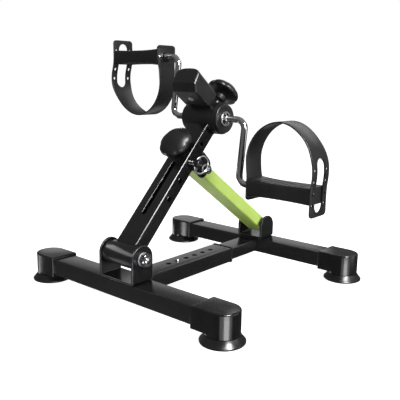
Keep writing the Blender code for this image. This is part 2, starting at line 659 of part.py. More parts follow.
def lock_pin():
    """A pull pin with a wire ring threaded through its neck."""
    centre = PIVOT + PIN_U * U
    place = axes(centre, N, U, X)
    out, across = Vector((0.084, 0.954, -0.289)).normalized(), Vector((-0.168, -0.272, -0.948))
    across = (across - across.dot(out) * out).normalized()
    hook, ring_r, wire, sides = centre + 0.0282 * X, 0.0137, 0.00095, 6
    profile = [(0, -0.0235), (0.0030, -0.0235), (0.0042, -0.0220), (0.0042, 0.0225), (0.0050, 0.0232),
               (0.0050, 0.0301), (0.0030, 0.0302), (0.0030, 0.0372), (0, 0.0372)]
    eye = prism(circle(0.0016, 12), -0.010, 0.010, axes(hook + 0.0004 * out, out, across, out.cross(across))
                @ Matrix.Rotation(math.radians(-90), 4, "X"))
    node("lock_pin_shaft", cut(lathe(profile, place), eye), CHROME, centre)
    collar = [(0.00305, 0.0304), (0.0052, 0.0304), (0.0064, 0.0314), (0.0066, 0.0330), (0.0066, 0.0374),
              (0.0056, 0.0388), (0.00305, 0.0390)]
    node("lock_pin_collar", lathe(collar, place), PLASTIC, centre)
    loops = []
    for i in range(30):
        a = math.pi * i / 15
        along = math.cos(a) * out + math.sin(a) * across
        turns = (2 * math.pi * k / sides for k in range(sides))
        loops.append([hook + ring_r * (out + along) + wire * (math.cos(b) * along + math.sin(b) * out.cross(across))
                      for b in turns])
    node("lock_pin_ring", loft(loops, ring=True), CHROME, centre)


def main():
    for old in list(bpy.data.objects):
        bpy.data.objects.remove(old)
    slide = Vector((0, FOOT_Y, TUBE_Z))
    cross_tube("front_cross_tube", -1)
    cross_tube("rear_cross_tube", 1)
    for label, side, end in (("front_left", -1, -1), ("front_right", 1, -1), ("rear_left", -1, 1),
                             ("rear_right", 1, 1)):
        foot_cap(f"foot_cap_{label}", side, end)
        foot_pad(f"foot_pad_{label}", side, end)
    outer_rail()
    rail_end_collar()
    inner_rail(slide)
    snap_button_spring(slide)
    bracket("front_bracket", PIVOT, 0.0315, 0.0195, 0.00525)
    bracket("rear_bracket", PROP_FOOT - 0.0022 * Z, 0.0220, 0.0195, 0.0)
    pivot_hardware()
    column_tube()
    pivot_barrel()
    head_drum()
    tension_boss()
    console()
    bearing_cup("bearing_cup_left", -1)
    bearing_cup("bearing_cup_right", 1)
    brake_pad()
    carriage()
    strut_bracket()
    strut()
    crank()
    pedal("left", -1)
    pedal("right", 1)
    clamp_knob()
    tension_knob()
    lock_pin()


main()
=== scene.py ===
"""Pedal exerciser: detailed pieces, materials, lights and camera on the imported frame. Metres."""

import json
import math

import bmesh
import bpy
from mathutils import Matrix, Vector

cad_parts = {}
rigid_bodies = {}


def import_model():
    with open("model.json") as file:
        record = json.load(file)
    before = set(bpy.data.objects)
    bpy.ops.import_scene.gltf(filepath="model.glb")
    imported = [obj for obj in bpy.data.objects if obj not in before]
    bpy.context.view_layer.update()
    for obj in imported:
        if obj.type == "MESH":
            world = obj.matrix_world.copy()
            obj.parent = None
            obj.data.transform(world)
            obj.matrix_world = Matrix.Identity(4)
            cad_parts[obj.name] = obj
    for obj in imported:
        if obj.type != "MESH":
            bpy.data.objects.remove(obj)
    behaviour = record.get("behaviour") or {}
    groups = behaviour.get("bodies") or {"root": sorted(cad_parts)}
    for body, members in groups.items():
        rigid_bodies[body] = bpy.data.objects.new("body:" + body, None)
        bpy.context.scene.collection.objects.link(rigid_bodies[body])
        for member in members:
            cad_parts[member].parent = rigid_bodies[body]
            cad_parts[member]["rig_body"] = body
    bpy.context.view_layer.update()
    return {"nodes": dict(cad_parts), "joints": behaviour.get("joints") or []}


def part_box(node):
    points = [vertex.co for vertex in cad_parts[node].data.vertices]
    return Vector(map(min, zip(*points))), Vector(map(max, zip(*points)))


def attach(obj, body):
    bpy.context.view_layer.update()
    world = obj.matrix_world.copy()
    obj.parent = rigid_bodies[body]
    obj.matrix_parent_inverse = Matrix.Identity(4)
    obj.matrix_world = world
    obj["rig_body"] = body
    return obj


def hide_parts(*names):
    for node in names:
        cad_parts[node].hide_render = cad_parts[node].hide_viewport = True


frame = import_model()

X, Y, Z = Vector((1, 0, 0)), Vector((0, 1, 0)), Vector((0, 0, 1))
FLAT = Matrix.Identity(4)


def joint_at(name):
    return next(Vector(j["pos_m"]) for j in frame["joints"] if j["name"] == name)


# Main points and directions, from the joints. U runs up the column and N out of its rear face, and E runs
# up the prop and M out of its rear face. All four lie in the YZ plane.
PIVOT = joint_at("column_fold")
PROP_FOOT = joint_at("strut_fold")
CRANK = joint_at("crank_spin")
CRANK_U = (CRANK - PIVOT).length
U = (CRANK - PIVOT).normalized()
N = U.cross(X)
CARRIAGE_U = (joint_at("clamp_knob_turn") - PIVOT).dot(U)
EAR_N = 0.0324
PROP_HEAD = PIVOT + CARRIAGE_U * U + EAR_N * N
E = (PROP_HEAD - PROP_FOOT).normalized()
M = E.cross(X)
PROP_LEN = (PROP_HEAD - PROP_FOOT).length

# Base sizes, from the boxes of its tubes
tube_low, tube_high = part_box("front_cross_tube")
TUBE_Z = (tube_low.z + tube_high.z) / 2
TUBE_TOP = tube_high.z
TUBE_W = tube_high.y - tube_low.y
TUBE_H = tube_high.z - tube_low.z
TUBE_HALF = tube_high.x
FOOT_Y = -(tube_low.y + tube_high.y) / 2
FOOT_X = TUBE_HALF + 0.0200
WALL = 0.0015
RAIL_END_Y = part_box("outer_rail")[1].y
CAP_R, CAP_INBOARD = 0.0236, 0.0346
CAP_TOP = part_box("foot_cap_front_left")[1].z
HOLE_PITCH = 0.0205
HOLE_FIRST_Y = -0.0724
COLUMN_W, COLUMN_D = 0.0400, 0.0240
BARREL_R = 0.0173
DRUM_R, DRUM_HALF = 0.0245, 0.0310
PIN_U = 0.1692
SIDE_HOLES_U = (0.1008, 0.1350, PIN_U, 0.2034)
SLOT_U = (0.0662, 0.2090)
PEDAL_LEN, PEDAL_DEEP = 0.1044, 0.0440
RIVET_Y, RIVET_Z = 0.0162, -0.0005

# Radii of the round holes and the rods in them
RAIL_HOLE_R = 0.0041
M8_HOLE_R, M10_HOLE_R = 0.00408, 0.00508
ROD_R, ROD_BORE_R = 0.0052, 0.0053


# ------------------------------------------------------------ mesh tools

def axes(origin, x, y, z):
    return Matrix.Translation(origin) @ Matrix((x, y, z)).transposed().to_4x4()


def along_x(origin):
    return axes(origin, Y, Z, X)


def along_y(origin):
    return axes(origin, Z, X, Y)


def column_u(u=0.0):
    return axes(PIVOT + u * U, X, N, U)


def column_n(u=0.0, n=0.0):
    return axes(PIVOT + u * U + n * N, U, X, N)


def column_x(u=0.0, n=0.0):
    return axes(PIVOT + u * U + n * N, N, U, X)


def circle(r, count=48, cx=0.0, cy=0.0):
    turns = (2 * math.pi * i / count for i in range(count))
    return [(cx + r * math.cos(a), cy + r * math.sin(a)) for a in turns]


def arc(cx, cy, r, start, end, count):
    steps = (math.radians(start + (end - start) * i / count) for i in range(count + 1))
    return [(cx + r * math.cos(a), cy + r * math.sin(a)) for a in steps]


def rounded_rect(w, h, r, count=6):
    points = []
    for sx, sy, start in ((1, 1, 0), (-1, 1, 90), (-1, -1, 180), (1, -1, 270)):
        points += arc(sx * (w / 2 - r), sy * (h / 2 - r), r, start, start + 90, count)
    return points


def capsule(x0, x1, r, count=16):
    return arc(x1, 0, r, -90, 90, count) + arc(x0, 0, r, 90, 270, count)


def fillet(points, radii, count=5):
    """The closed outline with its corners rounded."""
    made = []
    for i, corner in enumerate(points):
        b = Vector(corner)
        a, c = Vector(points[i - 1]), Vector(points[(i + 1) % len(points)])
        p, q = (a - b).normalized(), (c - b).normalized()
        half = p.angle(q) / 2
        reach = min(radii[i] / math.tan(half), 0.48 * (a - b).length, 0.48 * (c - b).length)
        start, end = b + p * reach, b + q * reach
        for k in range(count + 1):
            t = k / count
            made.append(tuple((1 - t) ** 2 * start + 2 * t * (1 - t) * b + t * t * end))
    return made


def spline(points, count=4):
    ends = [points[0]] + list(points) + [points[-1]]
    made = []
    for a, b, c, d in zip(ends, ends[1:], ends[2:], ends[3:]):
        for i in range(count):
            t = i / count
            made.append(tuple(0.5 * (2 * q + (r - p) * t + (2 * p - 5 * q + 4 * r - s) * t * t
                                     + (3 * q - p - 3 * r + s) * t ** 3) for p, q, r, s in zip(a, b, c, d)))
    return made + [tuple(points[-1])]


def loft(loops, place=FLAT, ring=False):
    """A closed body through loops of (x, y, z)."""
    bm = bmesh.new()
    rows = [[bm.verts.new(place @ Vector(p)) for p in loop] for loop in loops]
    pairs = list(zip(rows, rows[1:])) + ([(rows[-1], rows[0])] if ring else [])
    for low, high in pairs:
        for i in range(len(low)):
            j = (i + 1) % len(low)
            bm.faces.new((low[i], low[j], high[j], high[i]))
    if not ring:
        bm.faces.new(rows[0][::-1])
        bm.faces.new(rows[-1])
    bmesh.ops.recalc_face_normals(bm, faces=bm.faces)
    return bm


def prism(outline, low, high, place=FLAT):
    return loft([[(x, y, z) for x, y in outline] for z in (low, high)], place)


def box(low, high, place=FLAT):
    outline = [(low[0], low[1]), (high[0], low[1]), (high[0], high[1]), (low[0], high[1])]
    return prism(outline, low[2], high[2], place)


def tube(outer, inner, low, high, place=FLAT):
    loops = [(outer, low), (outer, high), (inner, high), (inner, low)]
    return loft([[(x, y, z) for x, y in line] for line, z in loops], place, ring=True)


def lathe(profile, place=FLAT, count=64, lobes=None):
    """Turns (radius, height) about local z. lobes(r, angle) may wave the radius."""
    bm = bmesh.new()
    rows = []
    for r, h in profile:
        if r == 0:
            rows.append([bm.verts.new(place @ Vector((0, 0, h)))])
            continue
        row = []
        for i in range(count):
            a = 2 * math.pi * i / count
            q = lobes(r, a) if lobes else r
            row.append(bm.verts.new(place @ Vector((q * math.cos(a), q * math.sin(a), h))))
        rows.append(row)
    closed = len(rows[0]) > 1
    for low, high in list(zip(rows, rows[1:])) + ([(rows[-1], rows[0])] if closed else []):
        for i in range(count):
            j = (i + 1) % count
            a, b = low[i % len(low)], low[j % len(low)]
            c, d = high[j % len(high)], high[i % len(high)]
            bm.faces.new([v for k, v in enumerate((a, b, c, d)) if v not in (a, b, c, d)[:k]])
    bmesh.ops.recalc_face_normals(bm, faces=bm.faces)
    return bm


def sweep(path, r, normal, count=32, closed=False):
    """A round rod along a plane path."""
    loops = []
    for i, point in enumerate(path):
        if closed:
            ahead = path[(i + 1) % len(path)] - path[i - 1]
        else:
            ahead = path[min(i + 1, len(path) - 1)] - path[max(i - 1, 0)]
        side = ahead.normalized().cross(normal)
        here = r(i) if callable(r) else r
        turns = (2 * math.pi * k / count for k in range(count))
        loops.append([point + here * (math.cos(a) * normal + math.sin(a) * side) for a in turns])
    return loft(loops, ring=closed)


def merged(*bodies):
    bm = bmesh.new()
    for body in bodies:
        mesh = bpy.data.meshes.new("piece")
        body.to_mesh(mesh)
        body.free()
        bm.from_mesh(mesh)
        bpy.data.meshes.remove(mesh)
    return bm


def combine(bm, tool, operation):
    made = []
    for body in (bm, tool):
        mesh = bpy.data.meshes.new("operand")
        body.to_mesh(mesh)
        body.free()
        made.append(bpy.data.objects.new("operand", mesh))
        bpy.context.scene.collection.objects.link(made[-1])
    modifier = made[0].modifiers.new("combine", "BOOLEAN")
    modifier.operation, modifier.solver, modifier.object = operation, "EXACT", made[1]
    graph = bpy.context.evaluated_depsgraph_get()
    result = bmesh.new()
    result.from_mesh(made[0].evaluated_get(graph).to_mesh())
    for operand in made:
        bpy.data.objects.remove(operand)
    return result


def cut(bm, *tools):
    return combine(bm, merged(*tools), "DIFFERENCE")


def add(bm, *tools):
    for tool in tools:
        bm = combine(bm, tool, "UNION")
    return bm


def piece(name, bm, look, bevel=0.0, segments=3, limit=38, sharp=34, extra=""):
    """Stands for the CAD node of that name and rides on its body. With extra, it is an addition to it."""
    bmesh.ops.remove_doubles(bm, verts=bm.verts, dist=2e-7)
    bmesh.ops.dissolve_degenerate(bm, edges=bm.edges, dist=1e-7)
    mesh = bpy.data.meshes.new(name)
    bm.to_mesh(mesh)
    bm.free()
    mesh.materials.append(look)
    made = bpy.data.objects.new(name + (extra or "_detail"), mesh)
    bpy.context.scene.collection.objects.link(made)
    mesh.shade_smooth()
    if bevel:
        rounding = made.modifiers.new("rounding", "BEVEL")
        rounding.width, rounding.segments = bevel, segments
        rounding.limit_method, rounding.angle_limit = "ANGLE", math.radians(limit)
        rounding.harden_normals = True
        rounding.use_clamp_overlap = True
    else:
        mesh.set_sharp_from_angle(angle=math.radians(sharp))
    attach(made, frame["nodes"][name]["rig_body"])
    if not extra:
        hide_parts(name)
    return made


# ------------------------------------------------------------- materials

class Surface:
    """A Principled material with a few ways to vary it by place on the object."""

    def __init__(self, name, colour, roughness, metallic=0.0):
        self.material = bpy.data.materials.new(name)
        self.material.use_nodes = True
        self.tree = self.material.node_tree
        self.shader = self.tree.nodes["Principled BSDF"]
        self.shader.inputs["Base Color"].default_value = (*colour, 1)
        self.shader.inputs["Roughness"].default_value = roughness
        self.shader.inputs["Metallic"].default_value = metallic
        self.place = self.tree.nodes.new("ShaderNodeTexCoord").outputs["Object"]

    def noise(self, scale, detail=3.0, stretch=(1, 1, 1)):
        mapping = self.tree.nodes.new("ShaderNodeMapping")
        mapping.inputs["Scale"].default_value = stretch
        self.tree.links.new(self.place, mapping.inputs["Vector"])
        made = self.tree.nodes.new("ShaderNodeTexNoise")
        made.inputs["Scale"].default_value = scale
        made.inputs["Detail"].default_value = detail
        self.tree.links.new(mapping.outputs["Vector"], made.inputs["Vector"])
        return made.outputs["Fac"]

    def spread(self, value, start, end, low, high):
        made = self.tree.nodes.new("ShaderNodeMapRange")
        for name, number in (("From Min", start), ("From Max", end), ("To Min", low), ("To Max", high)):
            made.inputs[name].default_value = number
        self.tree.links.new(value, made.inputs["Value"])
        return made.outputs["Result"]

    def product(self, a, b):
        made = self.tree.nodes.new("ShaderNodeMath")
        made.operation = "MULTIPLY"
        self.tree.links.new(a, made.inputs[0])
        self.tree.links.new(b, made.inputs[1])
        return made.outputs["Value"]

    def edges(self, radius=0.0009):
        """1 along the sharp edges, 0 on the faces."""
        rounded = self.tree.nodes.new("ShaderNodeBevel")
        rounded.samples = 6
        rounded.inputs["Radius"].default_value = radius
        plain = self.tree.nodes.new("ShaderNodeNewGeometry")
        match = self.tree.nodes.new("ShaderNodeVectorMath")
        match.operation = "DOT_PRODUCT"
        self.tree.links.new(rounded.outputs["Normal"], match.inputs[0])
        self.tree.links.new(plain.outputs["Normal"], match.inputs[1])
        return self.spread(match.outputs["Value"], 0.99, 0.86, 0.0, 1.0)

    def colours(self, factor, first, second):
        """Mixes two colours, or the colour so far and a second one where first is None."""
        made = self.tree.nodes.new("ShaderNodeMix")
        made.data_type = "RGBA"
        self.tree.links.new(factor, made.inputs["Factor"])
        socket = self.shader.inputs["Base Color"]
        if first is None:
            self.tree.links.new(socket.links[0].from_socket, made.inputs["A"])
        else:
            made.inputs["A"].default_value = (*first, 1)
        made.inputs["B"].default_value = (*second, 1)
        self.tree.links.new(made.outputs["Result"], socket)

    def roughness(self, value):
        self.tree.links.new(value, self.shader.inputs["Roughness"])

    def bump(self, height, distance, strength=1.0):
        made = self.tree.nodes.new("ShaderNodeBump")
        made.inputs["Distance"].default_value = distance
        made.inputs["Strength"].default_value = strength
        self.tree.links.new(height, made.inputs["Height"])
        socket = self.shader.inputs["Normal"]
        if socket.links:
            self.tree.links.new(socket.links[0].from_socket, made.inputs["Normal"])
        self.tree.links.new(made.outputs["Normal"], socket)


def powder_coat(name, colour, lighter, edge_wear_and_highlight, smooth, rough, edge=0.0009):
    """Sprayed enamel: fine orange peel, cloudy gloss, and lighter edges that are partly worn thin paint and
    partly a painted edge highlight.
    """
    look = Surface(name, colour, smooth)
    look.colours(look.spread(look.noise(26, 4), 0.35, 0.70, 0, 1), colour, lighter)
    wear_and_highlight_patches = look.spread(look.noise(40, 2), 0.40, 0.62, 0.4, 0.8)
    # Lighter colour along the edges: worn thin paint plus a painted edge highlight.
    look.colours(look.product(look.edges(edge), wear_and_highlight_patches), None, edge_wear_and_highlight)
    look.roughness(look.spread(look.noise(45, 5), 0.30, 0.70, smooth, rough))
    look.bump(look.noise(620, 2), 0.000012, 0.7)
    look.bump(look.noise(150, 2), 0.00002, 0.5)
    return look.material


def moulded(name, colour, lighter, smooth, rough, grain, depth):
    """Moulded plastic or rubber with a fine grain and faint handling marks."""
    look = Surface(name, colour, smooth)
    look.colours(look.spread(look.noise(30, 4), 0.35, 0.70, 0, 1), colour, lighter)
    edge_wear_and_highlight = tuple(min(1.0, 1.6 * part + 0.01) for part in lighter)
    wear_and_highlight_patches = look.spread(look.noise(25, 2), 0.4, 0.65, 0.1, 0.5)
    look.colours(look.product(look.edges(), wear_and_highlight_patches), None, edge_wear_and_highlight)
    look.roughness(look.spread(look.noise(60, 5), 0.30, 0.70, smooth, rough))
    look.bump(look.noise(grain, 3), depth, 0.8)
    return look.material


def plated(name, colour, darker, smooth, rough, stretch=(1, 1, 1), depth=0.00001):
    """Plated steel with soft polishing marks."""
    look = Surface(name, colour, smooth, 1.0)
    look.colours(look.spread(look.noise(70, 4), 0.35, 0.68, 0, 1), colour, darker)
    look.roughness(look.spread(look.noise(140, 4, stretch), 0.30, 0.72, smooth, rough))
    look.bump(look.noise(420, 3, stretch), depth, 0.4)
    return look.material


PAINT = powder_coat("black_powder_coat", (0.0130, 0.0130, 0.0136), (0.0160, 0.0160, 0.0168),
                    (0.040, 0.040, 0.042), 0.16, 0.21)
# Black powder coat with its plate edges painted light grey: a painted edge highlight along the brackets'
# edges.
EDGE_HIGHLIGHT_PAINT = powder_coat("powder_coat_painted_edge_highlight", (0.0130, 0.0130, 0.0136), (0.0160, 0.0160, 0.0168),
                        (0.360, 0.360, 0.365), 0.17, 0.24, 0.0018)
LIME = powder_coat("lime_powder_coat", (0.600, 0.830, 0.170), (0.640, 0.870, 0.200),
                   (0.76, 0.94, 0.34), 0.34, 0.46)
GLOSS = moulded("gloss_black_plastic", (0.0095, 0.0095, 0.0100), (0.0130, 0.0130, 0.0136),
                0.15, 0.22, 900, 0.000006)
PLASTIC = moulded("black_plastic", (0.0110, 0.0110, 0.0115), (0.0150, 0.0150, 0.0156),
                  0.34, 0.44, 800, 0.00002)
STRAP = moulded("strap_plastic", (0.0165, 0.0165, 0.0172), (0.0205, 0.0205, 0.0212),
                0.31, 0.39, 950, 0.00002)
SATIN = moulded("satin_black", (0.0110, 0.0110, 0.0115), (0.0140, 0.0140, 0.0146),
                0.36, 0.44, 700, 0.00001)
RUBBER = moulded("black_rubber", (0.0110, 0.0110, 0.0115), (0.0150, 0.0150, 0.0155),
                 0.24, 0.34, 500, 0.00001)
GREY = moulded("light_grey_plastic", (0.30, 0.30, 0.31), (0.36, 0.36, 0.37),
               0.35, 0.48, 800, 0.00003)
WIRE = plated("bright_wire", (0.80, 0.80, 0.82), (0.70, 0.70, 0.72), 0.30, 0.40)
CHROME = plated("bright_chrome", (0.72, 0.72, 0.74), (0.62, 0.62, 0.64), 0.06, 0.13)
DULL_ZINC = plated("dull_zinc", (0.34, 0.34, 0.35), (0.26, 0.26, 0.27), 0.40, 0.50)
ZINC = plated("zinc_plate", (0.66, 0.66, 0.68), (0.50, 0.50, 0.52), 0.16, 0.30, (1, 1, 3), 0.00002)
FELT = moulded("brake_felt", (0.110, 0.095, 0.080), (0.160, 0.140, 0.115),
               0.85, 0.95, 1200, 0.0002)


# ------------------------------------------------------------------ base

def cap_loop(side, end, inset, z):
    r, reach, corner = CAP_R - inset, CAP_INBOARD - inset, max(0.0012 - inset, 0.0004)
    points = arc(0, 0, r, -90, 90, 32)
    points += arc(corner - reach, r - corner, corner, 90, 180, 5)
    points += arc(corner - reach, corner - r, corner, 180, 270, 5)
    return [(side * (FOOT_X + x), end * (FOOT_Y + y), z) for x, y in points]


def foot_cap(name, side, end):
    foot = Matrix.Translation((side * FOOT_X, end * FOOT_Y, 0))
    r, base = 0.0024, 0.0145
    levels = [(base, 0.0006), (base + 0.0006, 0.0)]
    for k in range(7):
        turn = math.radians(15 * k)
        levels.append((CAP_TOP - r + r * math.sin(turn), r - r * math.cos(turn)))
    body = loft([cap_loop(side, end, inset, z) for z, inset in levels])
    skirt_r = CAP_R - 0.0001
    skirt = [(0, 0.0110), (skirt_r - 0.0007, 0.0110), (skirt_r, 0.0117), (skirt_r, 0.0200), (0, 0.0200)]
    body = add(body, lathe(skirt, foot))
    near, far = sorted((side * 0.13, side * (TUBE_HALF + 0.0010)))
    gap, y = 0.00015, end * FOOT_Y
    socket = box((near, y - TUBE_W / 2 - gap, TUBE_Z - TUBE_H / 2 - gap),
                 (far, y + TUBE_W / 2 + gap, TUBE_TOP + gap))
    body = cut(body, socket)
    body = cut(body, prism(circle(0.0051), 0.0090, 0.0160, foot))
    piece(name, body, GLOSS, sharp=30)


def foot_pad(name, side, end):
    foot = Matrix.Translation((side * FOOT_X, end * FOOT_Y, 0))
    r = 0.0303
    profile = [(0, 0.0015), (0.0198, 0.0015), (0.0203, 0.0005), (0.0208, 0.0), (0.0292, 0.0),
               (r - 0.0003, 0.0004), (r, 0.0011), (r, 0.0024), (r - 0.0003, 0.0029)]
    for k in range(1, 9):
        t = k / 8
        profile.append(((1 - t) ** 2 * (r - 0.0003) + 2 * t * (1 - t) * 0.0266 + t * t * 0.0239,
                        (1 - t) ** 2 * 0.0029 + 2 * t * (1 - t) * 0.0062 + t * t * 0.0109))
    profile += [(0.0050, 0.0109), (0.0050, 0.0155), (0, 0.0155)]
    piece(name, lathe(profile, foot, 72), RUBBER, sharp=30)


def cross_tube(name, end):
    outer = [(z, y) for y, z in rounded_rect(TUBE_W, TUBE_H, 0.003)]
    inner = [(z, y) for y, z in rounded_rect(TUBE_W - 2 * WALL, TUBE_H - 2 * WALL, 0.0015)]
    place = axes(Vector((0, end * FOOT_Y, TUBE_Z)), Z, -Y, X)
    piece(name, tube(outer, inner, -TUBE_HALF, TUBE_HALF, place), PAINT)


def outer_rail():
    place = along_y(Vector((0, 0, TUBE_Z)))
    outer = rounded_rect(TUBE_H, TUBE_W, 0.003)
    inner = rounded_rect(TUBE_H - 2 * WALL, TUBE_W - 2 * WALL, 0.0015)
    body = tube(outer, inner, -FOOT_Y + TUBE_W / 2 + 0.0003, RAIL_END_Y, place)
    rims = [circle(RAIL_HOLE_R, 32, 0, HOLE_FIRST_Y + i * HOLE_PITCH) for i in range(6)]
    holes = [prism(rim, TUBE_TOP - 0.004, TUBE_TOP + 0.004) for rim in rims]
    piece("outer_rail", cut(body, *holes), PAINT, 0.0004, 2)


def rail_end_collar():
    place = along_y(Vector((0, 0, TUBE_Z)))
    inner_w, inner_h = 0.0350, 0.0200
    opening = rounded_rect(inner_h + 0.0003, inner_w + 0.0003, 0.0018)
    flange = rounded_rect(TUBE_H + 0.0020, TUBE_W + 0.0020, 0.0035)
    sleeve = rounded_rect(TUBE_H - 2 * WALL - 0.0002, TUBE_W - 2 * WALL - 0.0002, 0.0018)
    start, face, end = RAIL_END_Y - 0.0180, RAIL_END_Y + 0.0001, RAIL_END_Y + 0.0026
    steps = ((sleeve, start), (sleeve, face), (flange, face), (flange, end), (opening, end),
             (opening, start))
    loops = [[(x, y, z) for x, y in line] for line, z in steps]
    piece("rail_end_collar", loft(loops, place, ring=True), PLASTIC, 0.0006, 3)


def inner_rail():
    place = along_y(Vector((0, 0, TUBE_Z)))
    outer = rounded_rect(0.0200, 0.0350, 0.0016)
    inner = rounded_rect(0.0200 - 2 * WALL, 0.0350 - 2 * WALL, 0.0008)
    body = tube(outer, inner, -0.0960, FOOT_Y - TUBE_W / 2 - 0.0003, place)
    hole = prism(circle(RAIL_HOLE_R, 32, 0, HOLE_FIRST_Y + HOLE_PITCH), TUBE_Z + 0.006, TUBE_Z + 0.014)
    piece("inner_rail", cut(body, hole), PAINT, 0.0003, 2)


def snap_button_spring():
    y = HOLE_FIRST_Y + HOLE_PITCH
    low, high, t = TUBE_Z - 0.0100 + WALL + 0.0002, TUBE_Z + 0.0100 - WALL - 0.0008, 0.0008
    top = [(y - 0.006, high), (y + 0.006, high), (y + 0.030, low + 0.0050), (y + 0.0325, low + 0.0028),
           (y + 0.0315, low + 0.0008), (y + 0.0290, low), (y - 0.004, low)]
    inside = [(y - 0.004, low + t), (y + 0.0287, low + t), (y + 0.0306, low + 0.0014),
              (y + 0.0315, low + 0.0027), (y + 0.0294, low + 0.0043), (y + 0.0058, high - t),
              (y - 0.006, high - t)]
    leaf = prism(top + inside, -0.0045, 0.0045, along_x(Vector()))
    dome = [(0.0036 * math.cos(math.radians(a)), TUBE_TOP + 0.0004 + 0.0028 * math.sin(math.radians(a)))
            for a in range(0, 90, 15)]
    button = lathe([(0, high - 0.0004), (0.0036, high - 0.0004)] + dome + [(0, TUBE_TOP + 0.0032)],
                   Matrix.Translation((0, y, 0)), 32)
    piece("snap_button_spring", add(leaf, button), ZINC)


def bracket(name, centre, half_inside, hole_r):
    """A bent U plate on a cross tube: the plate's profile along y, trimmed to the ears' rounded outline."""
    ear_r, t, bend = 0.0195, 0.0035, 0.0042
    base = TUBE_TOP + 0.0001
    half, top = half_inside + t, centre.z + ear_r + 0.002
    outer = [(half, top)] + arc(half - bend, base + bend, bend, 0, -90, 6)
    outer += arc(bend - half, base + bend, bend, -90, -180, 6) + [(-half, top)]
    r = bend - t
    inner = [(-half_inside, top)] + arc(r - half_inside, base + t + r, r, 180, 270, 4)
    inner += arc(half_inside - r, base + t + r, r, -90, 0, 4) + [(half_inside, top)]
    plate = prism(outer + inner, centre.y - 0.03, centre.y + 0.03, axes(Vector(), X, Z, -Y)
                  @ Matrix.Scale(-1, 4, Z))
    low = base - centre.z - 0.001
    outline = [(ear_r, low)] + arc(0, 0, ear_r, 0, 180, 36) + [(-ear_r, low)]
    body = combine(plate, prism(outline, -0.06, 0.06, along_x(centre)), "INTERSECT")
    if hole_r:
        body = cut(body, prism(circle(hole_r), -0.06, 0.06, along_x(centre)))
    # The plate's light edges are a painted edge highlight from its material.
    piece(name, body, EDGE_HIGHLIGHT_PAINT, 0.0006, 3, 50)


def bead(name, label, path, normal, closed=False, r=0.0013):
    """A weld bead laid along a path, with its ripples."""
    body = sweep(path, lambda i: r * (1 + 0.16 * math.sin(2.1 * i)), normal, 10, closed)
    piece(name, body, PAINT, sharp=80, extra=label)


def bracket_welds():
    """Beads along the brackets' edges. The front bracket has one on its rear edge only."""
    for name, label, y, side, half in (("front_bracket", "_weld_rear", -FOOT_Y, 1, 0.0310),
                                       ("rear_bracket", "_weld_front", FOOT_Y, -1, 0.0215),
                                       ("rear_bracket", "_weld_rear", FOOT_Y, 1, 0.0215)):
        count = int(half / 0.0007)
        path = [Vector((half * (2 * i / count - 1), y + side * 0.0196, TUBE_TOP - 0.0003))
                for i in range(count + 1)]
        bead(name, label, path, Z)


def hexagon(across_flats):
    r = across_flats / math.sqrt(3)
    return [(r * math.cos(math.radians(60 * i)), r * math.sin(math.radians(60 * i))) for i in range(6)]


def hex_body(across_flats, low, high, place):
    block = prism(hexagon(across_flats), low, high, place)
    r, c = across_flats / math.sqrt(3), 0.0009
    past = r + 0.0002
    profile = [(0, low), (r - c, low), (past, low + c), (past, high - c), (r - c, high), (0, high)]
    return combine(block, lathe(profile, place, 72), "INTERSECT")


def threaded(r, low, high, thread_from, place):
    """A bolt shank whose far end carries rolled thread and a chamfer."""
    profile = [(0, low), (r, low), (r, thread_from)]
    pitch, h = 0.0011, thread_from
    while h + pitch < high - 0.0008:
        profile += [(r - 0.00045, h + pitch * 0.5), (r, h + pitch)]
        h += pitch
    profile += [(r - 0.0003, high - 0.0006), (r - 0.0012, high), (0, high + 0.0003)]
    return lathe(profile, place, 48)


def washer(name, r, bore_r, low, high, place):
    c = 0.0003
    profile = [(bore_r, low), (r - c, low), (r, low + c), (r, high - c), (r - c, high), (bore_r, high)]
    piece(name, lathe(profile, place), DULL_ZINC, sharp=50)


def pivot_hardware():
    place = along_x(PIVOT)
    bolt = add(threaded(0.0050, -0.0380, 0.0467, 0.0360, place), hex_body(0.017, -0.0437, -0.0373, place))
    piece("pivot_bolt", bolt, ZINC)
    nut = cut(hex_body(0.017, 0.0373, 0.0455, place), prism(circle(M10_HOLE_R), 0.03, 0.05, place))
    piece("pivot_nut", nut, ZINC, 0.0003, 2)
    for label, low in (("left", -0.0371), ("right", 0.0353)):
        washer(f"pivot_washer_{label}", 0.0105, 0.00525, low, low + 0.0018, place)


# ---------------------------------------------------------------- column

def column_tube():
    outer = rounded_rect(COLUMN_W, COLUMN_D, 0.003)
    inner = rounded_rect(COLUMN_W - 2 * WALL, COLUMN_D - 2 * WALL, 0.0015)
    body = tube(outer, inner, 0.0060, CRANK_U - 0.0100, column_u())
    tools = [prism(circle(BARREL_R + 0.0003, 72), -0.03, 0.03, column_x()),
             prism(circle(DRUM_R + 0.0003, 96), -0.03, 0.03, column_x(CRANK_U))]
    tools += [prism(circle(0.0045, 32), -0.03, 0.03, column_x(u)) for u in SIDE_HOLES_U]
    steps = ((0.00432, -0.0160), (0.00432, -0.01166), (0.0042, -0.0115), (0.0042, -0.0080))
    tools.append(loft([[(x, y, n) for x, y in capsule(*SLOT_U, r)] for r, n in steps], column_n()))
    tools.append(prism(capsule(*SLOT_U, 0.0050), 0.0080, 0.0160, column_n()))
    piece("column_tube", cut(body, *tools), PAINT)


def saddle(centre_u, sign, r):
    """The line where the column's section meets a drum across it."""
    path = []
    for x, n in rounded_rect(COLUMN_W - 0.0004, COLUMN_D - 0.0004, 0.003, 5):
        path.append(PIVOT + x * X + n * N + (centre_u + sign * math.sqrt(r * r - n * n)) * U)
    dense = []
    for a, b in zip(path, path[1:] + path[:1]):
        count = max(1, round((b - a).length / 0.0008))
        dense += [a + (b - a) * k / count for k in range(count)]
    return dense


def column_welds():
    bead("column_tube", "_weld_low", saddle(0.0, 1, BARREL_R + 0.0004), U, True, 0.0011)
    bead("column_tube", "_weld_high", saddle(CRANK_U, -1, DRUM_R + 0.0004), U, True, 0.0011)


